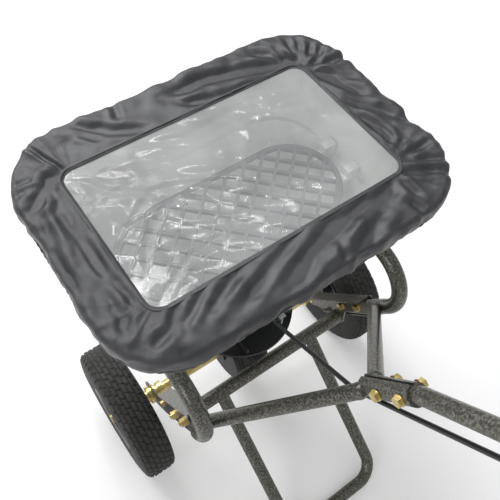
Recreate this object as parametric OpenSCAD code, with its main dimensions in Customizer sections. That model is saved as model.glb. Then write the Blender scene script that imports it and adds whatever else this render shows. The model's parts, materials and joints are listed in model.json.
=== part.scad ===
// Push broadcast spreader with a round tube frame, two pneumatic wheels, a moulded hopper
// and a fabric rain cover with a clear window.
// Millimetres. X to the right, Y forward, Z up, floor at Z = 0.
// Every module is drawn with the axle at Y = 0; placed() then centres the whole machine.

/* [Wheels and axle] */
// Outer radius of a tyre
wheel_r = 127; // [120:1:140]
// Width of a tyre
tyre_w = 64; // [56:1:70]
// Distance from the middle of the machine to the middle of a wheel
wheel_x = 239; // [236:1:250]
// Axle diameter
axle_d = 19; // [16:0.5:20]

/* [Hopper and cover] */
// Half of the hopper width over its rim
rim_a = 254; // [250:1:258]
// Half of the hopper depth over its rim
rim_b = 184; // [180:1:188]
// Outer corner radius of the rim
rim_r = 88; // [78:1:92]
// Height of the rim above the floor
rim_z = 610; // [600:1:620]
// How far the middle of the rim lies ahead of the axle
rim_y = 28; // [24:1:32]
// Height of the shoulder inside the hopper
ledge_z = 500; // [490:1:510]
// Underside of the hopper floor
floor_z = 345; // [335:1:355]
// Wall thickness of the hopper
hopper_t = 3; // [2.5:0.5:4]
// Half of the window width
window_a = 198; // [180:1:205]
// Half of the window depth
window_b = 121; // [110:1:126]
// How far the skirt of the cover hangs below its top
skirt_drop = 28; // [24:1:36]

/* [Frame tubes] */
// Diameter of the hopper frame tube and the cross tube
frame_d = 25.4; // [22:0.2:28]
// Wall of every tube
tube_t = 2; // [1.5:0.5:2.5]
// Distance from the middle to each side run of the frame
side_x = 184; // [180:1:188]
// Height of the frame's upper runs
side_z = 448; // [444:1:452]
// Centre line radius of the rear bends
rear_bend = 70; // [60:1:76]
// Diameter of the stand and of the handle tubes
small_d = 22.2; // [20:0.2:25]

/* [Handle] */
// Slope of the handle column at the clamped joint, in degrees
column_slope = 59; // [55:1:62]
// Slope of the handle column above its bend, in degrees
upper_slope = 47; // [44:1:52]
// Height of the cross bar above the floor
bar_z = 950; // [900:5:1000]
// Length of the cross bar
bar_len = 470; // [420:5:520]
// Length of a grip
grip_len = 118; // [100:1:130]

/* [Spreading gear] */
// Height of the spinning disc
disc_z = 272; // [262:1:280]
// Radius of the spinning disc
disc_r = 95; // [85:1:98]
// Teeth of the crown gear on the axle
gear_teeth = 40; // [40:4:40]
// Teeth of the pinion on the upright shaft
pinion_teeth = 10; // [10:1:10]
// Gear module
gear_m = 2.5; // [2.5:0.1:2.5]
// Travel of the gate from shut to open
gate_travel = 30; // [24:1:32]

/* [Hidden] */
$fn = 64;

// Running clearance on a radius, and the clearance of a hole round a bolt
run_c = 0.05;
hole_c = 0.2;

// Frame: the side run falls from its rear corner to the bracket, on a line behind the axle
rear_y = -240;
axle_up = 12;
corner_reach = norm([side_z - wheel_r, rear_y]);
fall = atan2(side_z - wheel_r, -rear_y) + asin(axle_up / corner_reach);
bend_end = sqrt(corner_reach * corner_reach - axle_up * axle_up) - rear_bend * tan((180 - fall) / 2);
front_y = 170;
front_bend = 60;

// The end of the frame tube is flattened to an oval, flush with the round tube on its inboard side
flat_t = 12;
flat_w = 30;
flat_x = (flat_t - frame_d) / 2;
flat_start = 96;
flat_end = 236;

// Axle bracket, a channel open towards the middle that takes the flattened tube
fit_gap = 0.15;
br_t = 2.6;
br_x = flat_x + flat_t / 2 + fit_gap;
br_out = br_x + br_t;
br_half = 18.2;
bolt_d = 8;
bolt_runs = [149, 202];
bolt_n = -4;

// Tabs that meet the flattened tube on its inboard side
tab_t = 4;
tab_x = flat_x - flat_t / 2 - fit_gap - tab_t;
tab_r = 11;

// Cross tube under the brackets and the stand that hangs from it
cross_y = -91.5;
cross_z = 203.2;
cross_s = -cross_y * cos(fall) + (cross_z - wheel_r) * sin(fall);
cross_n = -cross_y * sin(fall) - (cross_z - wheel_r) * cos(fall) - axle_up;
stand_x = 97;
stand_bar_y = -334;
stand_bend = 38;

// Handle column: lower end, bend and upper end
col_y0 = -272;
col_z0 = 496;
col_bend_z = 600;
col_bend = 70;
col_bend_y = col_y0 - (col_bend_z - col_z0) / tan(column_slope);
bar_y = col_bend_y - (bar_z - col_bend_z) / tan(upper_slope);
saddle_t = 3.4;
saddle_len = 108;
joint_bolts = [46, 96];

// Lever pivot on the column, and the length of the lever's short arm
pivot_z = 790;
pivot_y = col_bend_y - (pivot_z - col_bend_z) / tan(upper_slope);
arm = 40;
lever_x = 19;
lever_t = 3;

// Control rod: hook at the gate, bend under the clamped joint, hook at the lever
rod_d = 7;
gate_pin = [14, -76, floor_z - 14];
rod_bend = [0, -262, 455];

// The rod's chord gives how far its upper hook travels, and so the swing of the lever
hook_mid = [0, pivot_y - arm * sin(upper_slope), pivot_z - arm * cos(upper_slope)];
chord = atan2(hook_mid.z - gate_pin.z, gate_pin.y - hook_mid.y);
hook_travel = gate_travel * cos(chord) / cos(upper_slope - chord);
swing = 2 * asin(hook_travel / 2 / arm);
hook_turn = 270 - upper_slope + swing / 2;
hook_rest = arm * [0, cos(hook_turn), sin(hook_turn)];

// Grips, and the gap and thickness of the cover round the rim
grip_d = 33;
cover_gap = 3;
cover_t = 4;

black = "#2a2b2d";
hammertone = "#45453f";
zinc = "#c9b46a";
steel = "#b9bcbf";
natural = "#e3e5e2";

module placed() {
    translate([0, shift_y, 0]) children();
}

// Rounded rectangle plate centred on the origin, half sizes a and b
module rounded_plate(a, b, r, h) {
    linear_extrude(h) {
        square([2 * (a - r), 2 * b], center = true);
        square([2 * a, 2 * (b - r)], center = true);
        for (x = [-1, 1], y = [-1, 1]) translate([x * (a - r), y * (b - r)]) circle(r);
    }
}

// Straight round bar or tube from p to q
module strut(p, q, d, bore = 0) {
    v = q - p;
    len = norm(v);
    translate(p) rotate([0, acos(v.z / len), atan2(v.y, v.x)]) difference() {
        cylinder(h = len, d = d);
        if (bore > 0) translate([0, 0, -1]) cylinder(h = len + 2, d = bore);
    }
}

// One bend of radius r at the corner c between the unit directions a and b
module bend(c, a, b, r, d) {
    turn = acos(a * b);
    k = cross(a, b) / norm(cross(a, b));
    m = cross(k, a);
    start = c - a * r * tan(turn / 2);
    translate(start + m * r)
        rotate([atan2(a.z, k.z), asin(m.z), atan2(-m.y, -m.x)])
            rotate_extrude(angle = turn) translate([r, 0]) circle(d = d);
}

// Bar bent round the corners of a path; radii holds one bend radius per inner corner.
// A collar a hair wider than the bar closes each seam between a straight and a bend.
collar_half = 0.6;
collar_more = 0.1;

module bent_bar(path, radii, d) {
    n = len(path);
    way = [for (i = [0:n - 2]) (path[i + 1] - path[i]) / norm(path[i + 1] - path[i])];
    cut = [for (i = [0:n - 1]) i == 0 || i == n - 1 ? 0 :
        radii[i - 1] * tan(acos(way[i - 1] * way[i]) / 2)];
    for (i = [0:n - 2]) strut(path[i] + way[i] * cut[i], path[i + 1] - way[i] * cut[i + 1], d);
    for (i = [1:n - 2]) {
        bend(path[i], way[i - 1], way[i], radii[i - 1], d);
        for (s = [-1, 1]) {
            seam = path[i] + s * way[s < 0 ? i - 1 : i] * cut[i];
            reach = way[s < 0 ? i - 1 : i] * collar_half;
            strut(seam - reach, seam + reach, d + collar_more);
        }
    }
}

module bent_tube(path, radii, d) {
    difference() {
        bent_bar(path, radii, d);
        bent_bar(path, radii, d - 2 * tube_t);
    }
}

// Frame of the falling run: X points outwards, Y runs up to the rear bend, -Z faces forward and up
module falling_run(side) {
    translate([side * side_x, 0, wheel_r]) rotate([180 - fall, 0, 0])
        translate([0, 0, axle_up]) mirror([side < 0 ? 1 : 0, 0, 0]) children();
}

// The same frame as a point: x from the middle, s along the run, n below its centre line
function run_point(x, s, n) = [x, -s * cos(fall) - (n + axle_up) * sin(fall),
    wheel_r + s * sin(fall) - (n + axle_up) * cos(fall)];

module run_hole(s, n, d) {
    translate([-40, s, n]) rotate([0, 90, 0]) cylinder(h = 80, d = d);
}

// Plate drawn in the Y-Z plane and pushed out along X
module side_plate(x, t) {
    translate([x, 0, 0]) rotate([90, 0, 90]) linear_extrude(t) children();
}

// Hexagon bolt along +X with its head at the origin, the shank going to -X
module bolt_x(d, len) {
    rotate([0, 90, 0]) {
        translate([0, 0, -len]) cylinder(h = len, d = d);
        cylinder(h = d * 0.65, d = d * 1.85, $fn = 6);
        translate([0, 0, -1.4]) cylinder(h = 1.4, d = d * 2.1);
    }
}

// Hexagon nut along X with a washer on its +X side
module nut_x(d) {
    rotate([0, -90, 0]) difference() {
        union() {
            cylinder(h = 1.4, d = d * 2.1);
            cylinder(h = d * 0.85 + 1.4, d = d * 1.8, $fn = 6);
        }
        translate([0, 0, -1]) cylinder(h = d * 2, d = d + 0.1);
    }
}

// Solid between two rounded rectangles; each is [half a, half b, radius, middle y, z]
module loft(low, high) {
    hull() for (s = [low, high])
        translate([0, s[3], s[4]]) linear_extrude(0.02, center = true) {
            square([2 * (s[0] - s[2]), 2 * s[1]], center = true);
            square([2 * s[0], 2 * (s[1] - s[2])], center = true);
            for (x = [-1, 1], y = [-1, 1])
                translate([x * (s[0] - s[2]), y * (s[1] - s[2])]) circle(s[2], $fn = 32);
        }
}

// Hopper: rim, upper walls down to the shoulder, funnel, floor with three outlets
ledge_a = 215;
ledge_b = 151;
floor_a = 70;
floor_b = 87;
floor_y = 13;
ledge_in = 9;
outlet_r = 12;
outlets = [[-30, 20], [30, 20], [0, 56]];
shaft_d = 12.7;
bush_d = 20;
hopper_bolt_y = [-60, 90];
hopper_bolt_d = 6;

module hopper() {
    color(natural) difference() {
        union() {
            loft([floor_a, floor_b, 40, floor_y, floor_z], [ledge_a, ledge_b, 80, rim_y, ledge_z]);
            loft([ledge_a, ledge_b, 80, rim_y, ledge_z], [rim_a - 4, rim_b - 4, rim_r - 3, rim_y, rim_z - 0.5]);
            translate([0, rim_y, rim_z - 14]) difference() {
                rounded_plate(rim_a, rim_b, rim_r, 14);
                translate([0, 0, -1]) rounded_plate(rim_a - 2.5, rim_b - 2.5, rim_r - 2.5, 12);
            }
        }
        loft([floor_a - hopper_t, floor_b - hopper_t, 37, floor_y, floor_z + 4],
            [ledge_a - ledge_in, ledge_b - ledge_in, 74, rim_y, ledge_z + 0.5]);
        loft([ledge_a - hopper_t, ledge_b - hopper_t, 77, rim_y, ledge_z],
            [rim_a - 7, rim_b - 7, rim_r - 6, rim_y, rim_z + 1]);
        for (o = outlets) translate([o.x, o.y, floor_z - 1]) cylinder(h = 6, r = outlet_r);
        translate([0, 0, floor_z - 1]) cylinder(h = 8, d = bush_d);
        for (y = hopper_bolt_y, s = [-1, 1])
            translate([s * 150, y, side_z]) rotate([0, s * 90, 0]) cylinder(h = 60, d = hopper_bolt_d);
    }
}

module hopper_bolts() {
    color(zinc) for (y = hopper_bolt_y, s = [-1, 1]) mirror([s < 0 ? 1 : 0, 0, 0])
        translate([side_x + frame_d / 2 + 1.4, y, side_z]) bolt_x(hopper_bolt_d, 36);
}

// Debris screen: flat diagonal lattice with round ends, resting on four clips in the hopper
screen_z = 508;
screen_h = 8;
screen_a = 185;
screen_b = 78;
lattice_step = 24;
lattice_bar = 5;

module stadium(a, b, h) {
    cube([2 * (a - b), 2 * b, 2 * h], center = true);
    for (s = [-1, 1]) translate([s * (a - b), 0, 0]) cylinder(h = 2 * h, r = b, center = true);
}

module debris_screen() {
    color("#eceeec") translate([0, rim_y, screen_z + screen_h / 2]) {
        difference() {
            intersection() {
                stadium(screen_a, screen_b, screen_h / 2);
                cube([2 * screen_a, 2 * screen_b, screen_h], center = true);
            }
            stadium(screen_a - 6, screen_b - 6, screen_h);
        }
        intersection() {
            stadium(screen_a - 5, screen_b - 5, screen_h / 2);
            for (turn = [45, -45]) rotate([0, 0, turn])
                for (i = [-9:9]) translate([0, i * lattice_step, 0])
                    cube([2 * screen_a, lattice_bar, screen_h - 1], center = true);
        }
    }
}

module screen_clips() {
    color(natural) for (s = [-1, 1], y = [-28, 28]) mirror([s < 0 ? 1 : 0, 0, 0])
        translate([168, rim_y + y - 7, ledge_z + 0.02]) difference() {
            cube([43, 14, 22]);
            translate([-1, -1, screen_z - ledge_z - 0.1]) cube([22, 16, 30]);
        }
}

// Cover: a skirt with gathers, a clear window and an elastic in the hem.
// A ring of the skirt runs round a rounded rectangle; corner and side steps are even.
cover_a = rim_a + cover_gap;
cover_b = rim_b + cover_gap;
cover_top = rim_z + 2;
corner_steps = 7;
side_steps = 9;
fold_depth = 5;
window_r = 22;

function corner_mid(q, a, b, r) = [(q == 0 || q == 3 ? 1 : -1) * (a - r), (q < 2 ? 1 : -1) * (b - r)];
function corner_point(q, k, a, b, r) = let (t = 90 * (q + k / corner_steps))
    concat(corner_mid(q, a, b, r) + r * [cos(t), sin(t)], [cos(t), sin(t)]);
function ring(a, b, r) = [for (q = [0:3]) each concat(
    [for (k = [0:corner_steps]) corner_point(q, k, a, b, r)],
    [for (k = [1:side_steps]) let (p = corner_point(q, corner_steps, a, b, r),
        n = corner_point((q + 1) % 4, 0, a, b, r)) p + (n - p) * k / (side_steps + 1)])];
ring_n = 4 * (corner_steps + 1 + side_steps);

// Main folds: puffs between the gathers, none inwards, so the inside stays clear of the rim
function puff(i) = let (t = i * 360 / ring_n) pow(sin(t * 5 + 20), 2) * (0.55 + 0.45 * cos(t * 4));

// Outer and inner profile of the skirt: [inset from the outer edge, drop, share of the folds]
skirt_wide = cover_a - window_a;
skirt_out = [
    [skirt_wide, 0, 0], [skirt_wide * 0.55, 0, 0.35], [12, -0.5, 0.5], [4, -3, 0.6], [0.6, -9, 0.8],
    [0, -16, 1], [2.5, -skirt_drop, 0.6],
];
skirt_in = [
    [5.5, -skirt_drop, 0.6], [3, -16, 0.8], [3.2, -7.5, 0.6], [7, -4.2, 0.5], [14, -3.4, 0.4],
    [skirt_wide * 0.55, -3, 0.25], [skirt_wide, -3, 0],
];
skirt_profile = concat(skirt_out, skirt_in);

function skirt_ring(p) = let (share = p[0] / skirt_wide,
        a = (cover_a + cover_t) * (1 - share) + window_a * share,
        b = (cover_b + cover_t) * (1 - share) + window_b * share,
        r = (rim_r + 6) * (1 - share) + window_r * share,
        pts = ring(a, b, r))
    [for (i = [0:ring_n - 1]) let (f = puff(i) * fold_depth * p[2])
        [pts[i][0] + pts[i][2] * f, rim_y + pts[i][1] + pts[i][3] * f,
        cover_top + cover_t + p[1] + (p[0] > 10 ? f : 0)]];

// Centre of the whole machine along Y, from the front of the cover and the rear of the grips
front_end = max([for (p = skirt_profile) max([for (q = skirt_ring(p)) q.y])]);
rear_end = bar_y - grip_d / 2;
shift_y = -(front_end + rear_end) / 2;

module cover_skirt() {
    m = len(skirt_profile);
    points = [for (p = skirt_profile) each skirt_ring(p)];
    faces = [for (j = [0:m - 1], i = [0:ring_n - 1]) let (i2 = (i + 1) % ring_n, j2 = (j + 1) % m,
            a = j * ring_n + i, b = j * ring_n + i2, c = j2 * ring_n + i2, d = j2 * ring_n + i)
        each [[a, b, c], [a, c, d]]];
    color("#3a3b3e") polyhedron(points, faces);
}

module cover_window() {
    color("#dfe6e8", 0.5) translate([0, rim_y, cover_top + cover_t - 2.4])
        rounded_plate(window_a - 0.1, window_b - 0.1, window_r, 1.2);
}

module cover_hem() {
    a = cover_a + 1.5;
    b = cover_b + 1.5;
    r = rim_r + 4;
    color("#2c2d30") translate([0, rim_y, cover_top + cover_t - skirt_drop - 3.2]) {
        for (s = [-1, 1]) {
            strut([-a + r, s * b, 0], [a - r, s * b, 0], 5);
            strut([s * a, -b + r, 0], [s * a, b - r, 0], 5);
        }
        for (q = [0:3]) translate([(q == 0 || q == 3 ? 1 : -1) * (a - r), (q < 2 ? 1 : -1) * (b - r), 0])
            rotate([0, 0, 90 * q]) rotate_extrude(angle = 90) translate([r, 0]) circle(d = 5);
    }
}

// Hopper frame: one tube up from each axle bracket, round the rear bends and across the front
stub = 4;
frame_path = [
    run_point(side_x, bend_end - stub, 0), [side_x, rear_y, side_z], [side_x, front_y, side_z],
    [-side_x, front_y, side_z], [-side_x, rear_y, side_z], run_point(-side_x, bend_end - stub, 0),
];

module oval(t, w) {
    square([t, w - t], center = true);
    for (s = [-1, 1]) translate([0, s * (w - t) / 2]) circle(d = t);
}

// Flattened end and its change to the round tube; cut is what a wall takes off, more runs it out
module flat_run(side, cut, more) {
    falling_run(side) {
        translate([flat_x, flat_start - more, 0]) rotate([-90, 0, 0])
            linear_extrude(flat_end - flat_start + more) oval(flat_t - cut, flat_w - cut);
        hull() {
            translate([flat_x, flat_end - 1, 0]) rotate([-90, 0, 0])
                linear_extrude(1) oval(flat_t - cut + collar_more, flat_w - cut + collar_more);
            translate([0, bend_end - stub - 1, 0]) rotate([-90, 0, 0])
                cylinder(h = 3, d = frame_d - cut + collar_more);
        }
    }
}

module frame_tube() {
    color(hammertone) difference() {
        union() {
            bent_bar(frame_path, [rear_bend, front_bend, front_bend, rear_bend], frame_d);
            for (s = [-1, 1]) flat_run(s, 0, 0);
        }
        bent_bar(frame_path, [rear_bend, front_bend, front_bend, rear_bend], frame_d - 2 * tube_t);
        for (s = [-1, 1]) flat_run(s, 2 * tube_t, 1);
        for (s = [-1, 1], run = bolt_runs) falling_run(s) run_hole(run, bolt_n, bolt_d + hole_c);
        for (y = hopper_bolt_y, s = [-1, 1])
            translate([s * 150, y, side_z]) rotate([0, s * 90, 0]) cylinder(h = 60, d = hopper_bolt_d + hole_c);
    }
}

// Axle bracket: an upright web with an ear round the axle, a wide top flange and a narrow lower one
bearing_run = 80;
bearing_n = -9;
bearing_bolt_d = 6;
bearing_d = 24;
ear_r = 24;
flange_from = 52;
flange_to = 226;
top_reach = 25;
low_reach = 11;

module bracket(side) {
    color("#8b8b84") falling_run(side) difference() {
        union() {
            side_plate(br_x, br_t) {
                translate([0, -axle_up]) circle(ear_r);
                polygon([[-2, -axle_up - ear_r + 0.1], [flange_from, -br_half], [flat_end - 2, -br_half],
                    [flat_end - 2, br_half], [flange_from - 8, br_half], [-6, ear_r - axle_up - 1]]);
            }
            translate([-top_reach, flange_from, -br_half])
                cube([top_reach + br_out, flange_to - flange_from, br_t]);
            translate([-low_reach, flange_from, br_half - br_t])
                cube([low_reach + br_out, flange_to - flange_from, br_t]);
        }
        run_hole(0, -axle_up, bearing_d + hole_c);
        run_hole(bearing_run, bearing_n, bearing_bolt_d + hole_c);
        for (run = bolt_runs) run_hole(run, bolt_n, bolt_d + hole_c);
    }
}

module left_bracket() { bracket(-1); }
module right_bracket() { bracket(1); }

// Bearing sleeve through the ear, with a flange on each side of it
bush_in = 10;
bush_out = 17;

module axle_bush(side) {
    color(zinc) translate([side * side_x, 0, wheel_r]) rotate([0, side * 90, 0]) difference() {
        union() {
            translate([0, 0, -bush_in]) cylinder(h = bush_in + bush_out, d = bearing_d);
            translate([0, 0, br_out]) cylinder(h = 8, d = 34);
            translate([0, 0, br_x - 4]) cylinder(h = 4, d = 32);
        }
        cylinder(h = 80, d = axle_d + 2 * run_c, center = true);
    }
}

module left_axle_bush() { axle_bush(-1); }
module right_axle_bush() { axle_bush(1); }

// Cross tube with flat tabs that reach up to the first bolts
cross_end = side_x + tab_x + 1;

module cross_tab() {
    a = [bolt_runs[0], bolt_n];
    b = [cross_s, cross_n];
    w = [a.y - b.y, b.x - a.x] / norm(b - a);
    translate(a) circle(tab_r);
    translate(b) circle(frame_d / 2 + 2);
    polygon([a + w * (tab_r - 0.5), a - w * (tab_r - 0.5), b - w * 13, b + w * 13]);
}

module cross_tube() {
    color(hammertone) difference() {
        union() {
            strut([-cross_end, cross_y, cross_z], [cross_end, cross_y, cross_z], frame_d, frame_d - 2 * tube_t);
            for (s = [-1, 1]) falling_run(s) side_plate(tab_x, tab_t) cross_tab();
        }
        for (s = [-1, 1]) falling_run(s) run_hole(bolt_runs[0], bolt_n, bolt_d + hole_c);
    }
}

// Stand: a tube bent to a U, welded under the cross tube, on two flat rubber feet
foot_gap = 3;
stand_low = small_d / 2 + foot_gap;
foot_x = 48;

module stand() {
    color(hammertone) difference() {
        bent_tube([[stand_x, cross_y, cross_z], [stand_x, stand_bar_y, stand_low],
            [-stand_x, stand_bar_y, stand_low], [-stand_x, cross_y, cross_z]],
            [stand_bend, stand_bend], small_d);
        strut([-160, cross_y, cross_z], [160, cross_y, cross_z], frame_d);
    }
}

module stand_feet() {
    color(black) for (s = [-1, 1]) difference() {
        translate([s * foot_x - 16, stand_bar_y - 8, 0]) cube([32, 16, stand_low]);
        strut([-80, stand_bar_y, stand_low], [80, stand_bar_y, stand_low], small_d);
    }
}

// Lower handle tube: flat tab on the bracket, a straight run inwards, a half shell on the column
column_dir = [0, -cos(column_slope), sin(column_slope)];
upper_dir = [0, -cos(upper_slope), sin(upper_slope)];
column_foot = [0, col_y0, col_z0];
handle_run = 248;
handle_n = -2.8;
handle_x = side_x + tab_x + tab_t;
handle_start = run_point(handle_x, handle_run, handle_n);
saddle_foot = column_foot + column_dir * 4;

module column_bore(d) {
    strut(column_foot - column_dir * 60, column_foot + column_dir * 200, d);
}

module joint_holes(d) {
    for (s = joint_bolts)
        translate(column_foot + column_dir * s) rotate([0, 90, 0]) cylinder(h = 60, d = d, center = true);
}

module handle_tube(side) {
    joint = saddle_foot + [side * (small_d / 2 + 3), 0, 0];
    flange = [side * handle_start.x, handle_start.y, handle_start.z];
    start = flange + (flange - joint) / norm(flange - joint) * 18;
    color(hammertone) difference() {
        union() {
            strut(start, joint, small_d, small_d - 2 * tube_t);
            translate(joint) sphere(d = small_d + 1.2);
            strut(saddle_foot, saddle_foot + column_dir * saddle_len, small_d + 2 * saddle_t);
            falling_run(side) side_plate(tab_x, tab_t) {
                translate([bolt_runs[1], bolt_n - tab_r]) square([handle_run + 8 - bolt_runs[1], 2 * tab_r]);
                translate([bolt_runs[1], bolt_n]) circle(tab_r);
                translate([handle_run + 8, bolt_n]) circle(tab_r);
            }
        }
        column_bore(small_d + 0.1);
        joint_holes(bolt_d + hole_c);
        mirror([side < 0 ? 1 : 0, 0, 0]) {
            translate([-58, -500, 400]) cube([60, 400, 400]);
            translate([handle_x, -300, 200]) cube([60, 400, 300]);
        }
        falling_run(side) run_hole(bolt_runs[1], bolt_n, bolt_d + hole_c);
    }
}

module left_handle_tube() { handle_tube(-1); }
module right_handle_tube() { handle_tube(1); }

// Handle column, bent once above the joint
column_top = [0, bar_y, bar_z] - upper_dir * (small_d / 2 + 2);
pivot = [0, pivot_y, pivot_z];
second_bolt = pivot - upper_dir * 52;
bar_bolt_at = [0, bar_y, bar_z] - upper_dir * 42;
pivot_d = 8;

module cross_hole(at, d) {
    translate(at) rotate([0, 90, 0]) cylinder(h = 80, d = d, center = true);
}

module handle_column() {
    color(hammertone) difference() {
        bent_tube([column_foot, [0, col_bend_y, col_bend_z], column_top], [col_bend], small_d);
        joint_holes(bolt_d + hole_c);
        cross_hole(pivot, pivot_d);
        cross_hole(second_bolt, pivot_d);
        cross_hole(bar_bolt_at, 6 + hole_c);
    }
}

module handle_bolts() {
    color(zinc) for (s = joint_bolts)
        translate(column_foot + column_dir * s - [small_d / 2 + saddle_t + 1.4, 0, 0])
            mirror([1, 0, 0]) bolt_x(bolt_d, small_d + 2 * saddle_t + 12);
}

module handle_nuts() {
    color(zinc) for (s = joint_bolts)
        translate(column_foot + column_dir * s + [small_d / 2 + saddle_t + 1, 0, 0])
            mirror([1, 0, 0]) nut_x(bolt_d);
}

// Cross bar with a sleeve in the middle, a stub that slides into the column and ends drawn down
// a little under the grips
grip_from = bar_len / 2 - grip_len + 4;
grip_bore = small_d - 0.4;
sleeve_half = 25;

module handle_bar() {
    color(hammertone) difference() {
        union() {
            strut([-bar_len / 2, bar_y, bar_z], [bar_len / 2, bar_y, bar_z], grip_bore);
            strut([-grip_from, bar_y, bar_z], [grip_from, bar_y, bar_z], small_d);
            strut([-sleeve_half, bar_y, bar_z], [sleeve_half, bar_y, bar_z], small_d + 3);
            strut([0, bar_y, bar_z], [0, bar_y, bar_z] - upper_dir * 70, small_d - 2 * tube_t - 0.2);
        }
        strut([-bar_len / 2 - 1, bar_y, bar_z], [bar_len / 2 + 1, bar_y, bar_z], small_d - 2 * tube_t);
        cross_hole(bar_bolt_at, 6 + hole_c);
    }
}

module bar_bolt() {
    color(zinc) {
        translate(bar_bolt_at + [small_d / 2 + 1.4, 0, 0]) bolt_x(6, small_d + 8);
        translate(bar_bolt_at - [small_d / 2 + 1.4, 0, 0]) nut_x(6);
    }
}

// Foam grip closed at its outer end; ribs are rings along it
module grip(side) {
    color("#26272a") translate([side * grip_from, bar_y, bar_z]) rotate([0, side * 90, 0]) difference() {
        rotate_extrude() polygon([[0, 0], [grip_d / 2 - 3, 0], [grip_d / 2, 4], [grip_d / 2, grip_len - 5],
            [grip_d / 2 - 4, grip_len], [0, grip_len]]);
        translate([0, 0, -1]) cylinder(h = grip_len - 3, d = grip_bore);
    }
}

module left_grip() { grip(-1); }
module right_grip() { grip(1); }

// Frame bolts run along X with their nuts outside; the third pair is at the bearings
module frame_bolts() {
    color(zinc) for (s = [-1, 1]) falling_run(s) {
        for (run = bolt_runs) translate([tab_x - 1.4, run, bolt_n]) mirror([1, 0, 0]) bolt_x(bolt_d, 31);
        translate([br_out + 1.4, bearing_run, bearing_n]) bolt_x(bearing_bolt_d, 14);
    }
}

module frame_nuts() {
    color(zinc) for (s = [-1, 1]) falling_run(s) {
        for (run = bolt_runs) translate([br_out, run, bolt_n]) mirror([1, 0, 0]) nut_x(bolt_d);
        translate([br_x, bearing_run, bearing_n]) nut_x(bearing_bolt_d);
    }
}

// Rate control
top_turn = 90 - upper_slope;
plate_x = small_d / 2 + 0.4;
plate_t = 3;
slot_r = 80;
notch_step = 2.6;
notches = 11;
stop_turn = top_turn - notch_step * ceil((swing / 2 + 9.5) / notch_step);
stop_at = pivot + slot_r * [0, cos(stop_turn), sin(stop_turn)];

module gauge_plate() {
    color(steel) side_plate(plate_x, plate_t) difference() {
        translate([pivot.y, pivot.z]) rotate(top_turn) {
            difference() {
                circle(94);
                circle(68);
                for (s = [-1, 1]) rotate(s * 36) translate([-100, s > 0 ? 0 : -200]) square(200);
            }
            polygon([[60, -40], [78, -48], [78, 48], [60, 40], [9, 14], [-9, 14], [-9, -62], [9, -62]]);
        }
        translate([pivot.y, pivot.z]) circle(d = pivot_d);
        translate([second_bolt.y, second_bolt.z]) circle(d = pivot_d);
        for (k = [-notches:notches]) translate([pivot.y, pivot.z])
            rotate(top_turn + k * notch_step) translate([slot_r, 0]) circle(3.1);
    }
}

// Lever: pivot boss, short arm down to the rod, long arm up to the knob
lever_turn = top_turn + swing / 2;
long_arm = 128;
knob_r = 15;

module lever_blank() {
    translate([pivot.y, pivot.z]) rotate(lever_turn) children();
}

boss_x = plate_x + plate_t + 0.3;

module control_lever() {
    color(hammertone) difference() {
        union() {
            side_plate(lever_x, lever_t) lever_blank() {
                circle(12);
                translate([-arm - 9, -8]) square([arm + 9, 16]);
                translate([0, -7]) square([long_arm, 14]);
            }
            translate([boss_x, pivot.y, pivot.z]) rotate([0, 90, 0])
                cylinder(h = lever_x - boss_x + 1, d = 16);
        }
        cross_hole(pivot, pivot_d + 2 * run_c);
        side_plate(lever_x - 1, lever_t + 2) lever_blank() {
            translate([-arm - 0.4, -rod_d / 2 - 0.5]) square([2.6, rod_d + 1]);
            translate([-arm - 0.4, 0]) circle(rod_d / 2 + 0.5);
            translate([-arm + 2.2, 0]) circle(rod_d / 2 + 0.5);
        }
    }
}

module lever_knob() {
    color(black) difference() {
        translate([lever_x + lever_t / 2, pivot.y, pivot.z]) rotate([lever_turn, 0, 0])
            translate([0, long_arm - 16, 0]) rotate([-90, 0, 0]) rotate_extrude() {
                square([8, 12]);
                intersection() {
                    translate([0, 20]) circle(knob_r);
                    square([knob_r, 60]);
                }
            }
        side_plate(lever_x, lever_t) lever_blank() translate([0, -7]) square([long_arm, 14]);
    }
}

// Two bolts through the column; the lever turns on the upper one
module lever_pivot() {
    color(zinc) {
        translate([-small_d / 2 - 1.4, pivot.y, pivot.z]) mirror([1, 0, 0])
            bolt_x(pivot_d, small_d / 2 + lever_x + lever_t + 11);
        translate([lever_x + lever_t + 0.4, pivot.y, pivot.z]) mirror([1, 0, 0]) nut_x(pivot_d);
        translate([-small_d / 2 - 1.4, second_bolt.y, second_bolt.z]) mirror([1, 0, 0])
            bolt_x(pivot_d, small_d + 14);
        translate([plate_x + plate_t, second_bolt.y, second_bolt.z]) mirror([1, 0, 0]) nut_x(pivot_d);
    }
}

// Stop block on the plate: its lug meets the lever when the gate is fully open
module rate_stop() {
    color(black) difference() {
        translate([0, stop_at.y, stop_at.z]) rotate([stop_turn, 0, 0])
            translate([plate_x + plate_t, -9, -5]) cube([lever_x + lever_t - plate_x - plate_t, 18, 9]);
        translate([0, stop_at.y, stop_at.z]) rotate([0, 90, 0]) cylinder(h = 60, d = 5.2);
    }
}

module stop_thumbscrew() {
    color(black) translate([0, stop_at.y, stop_at.z]) rotate([0, 90, 0]) difference() {
        union() {
            translate([0, 0, plate_x - 13]) cylinder(h = 12.6, r = 11);
            translate([0, 0, plate_x - 1]) cylinder(h = lever_x + lever_t - plate_x + 3, d = 5);
        }
        for (k = [0:7]) rotate(k * 45) translate([12.5, 0, 0]) cylinder(h = 60, r = 3, center = true);
    }
}

rod_path = [
    gate_pin + [19, 0, 0], gate_pin, rod_bend,
    pivot + hook_rest, pivot + hook_rest + [lever_x + lever_t + 7, 0, 0],
];

module control_rod() {
    color("#1f2022") bent_bar(rod_path, [9, 60, 9], rod_d);
}

// Gate: a plate under the floor; its holes meet the outlets when it slides back
gate_t = 3;
gate_top = floor_z - 1.2;
gate_a = 50;
ear_x = 24.5;

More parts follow.
